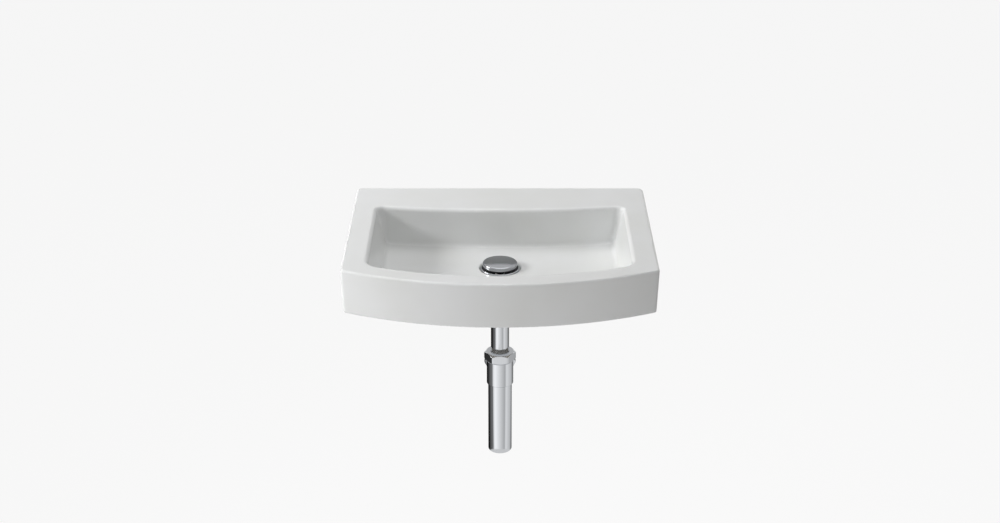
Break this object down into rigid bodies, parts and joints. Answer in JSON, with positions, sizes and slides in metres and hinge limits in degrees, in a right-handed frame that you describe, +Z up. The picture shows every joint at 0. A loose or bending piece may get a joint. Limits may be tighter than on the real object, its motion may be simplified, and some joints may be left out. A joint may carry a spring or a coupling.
{
  "type": "countertop basin",
  "caption": "Countertop basin with a bowed front, a push-to-close domed waste and a slim chromed bottle trap with its outlet to the wall.",
  "frame": {"origin": "on the drain axis, level with the worktop that the foot rests on, inside the boss that locates the basin in the worktop's hole", "axes": "+Z up, +Y towards the wall behind the basin, +X to the right as seen from the front"},
  "size_m": [0.5198, 0.5617, 0.426],
  "materials": {
    "glazed_china": "white glazed vitreous china",
    "chromed_brass": "polished chrome plate on brass",
    "raw_brass": "turned bare brass",
    "seal_rubber": "moulded black rubber",
    "white_plastic": "moulded white plastic",
    "spring_steel": "drawn stainless spring wire"
  },
  "bodies": {
    "fixed": {"basin_body": "glazed_china", "flange_seal": "seal_rubber", "waste_body": "chromed_brass", "underside_gasket": "seal_rubber", "slip_washer": "white_plastic", "backnut": "raw_brass", "cartridge_barrel": "white_plastic", "cartridge_collar": "chromed_brass", "cartridge_spring": "spring_steel", "union_washer": "seal_rubber", "union_nut": "chromed_brass", "inlet_tube": "chromed_brass", "head_nut": "chromed_brass", "head_slip_ring": "white_plastic", "head_seal": "seal_rubber", "trap_head": "chromed_brass", "dip_tube": "white_plastic", "cup_seal": "seal_rubber", "trap_cup": "chromed_brass", "outlet_nut": "chromed_brass", "outlet_slip_ring": "white_plastic", "outlet_seal": "seal_rubber", "outlet_pipe": "chromed_brass", "wall_rosette": "chromed_brass"},
    "plug": {"plug_cap": "chromed_brass", "plug_seal": "seal_rubber", "plug_spindle": "raw_brass"},
    "rotor": {"cartridge_rotor": "white_plastic"}
  },
  "joints": [
    {"name": "plug_press", "type": "slide", "parent": "fixed", "child": "plug", "axis": [0, 0, -1], "range_m": [0, 0.0065], "stiffness_N_per_m": 400, "springref_m": -0.01, "deforming": ["cartridge_spring"]},
    {"name": "rotor_click", "type": "hinge", "parent": "plug", "child": "rotor", "pos_m": [0, 0, -0.0145], "axis": [0, 0, 1], "range_deg": [0, 45]}
  ],
  "couplings": [
    {"joint": "rotor_click", "follows": "plug_press", "rad_per_m": 120.8}
  ]
}
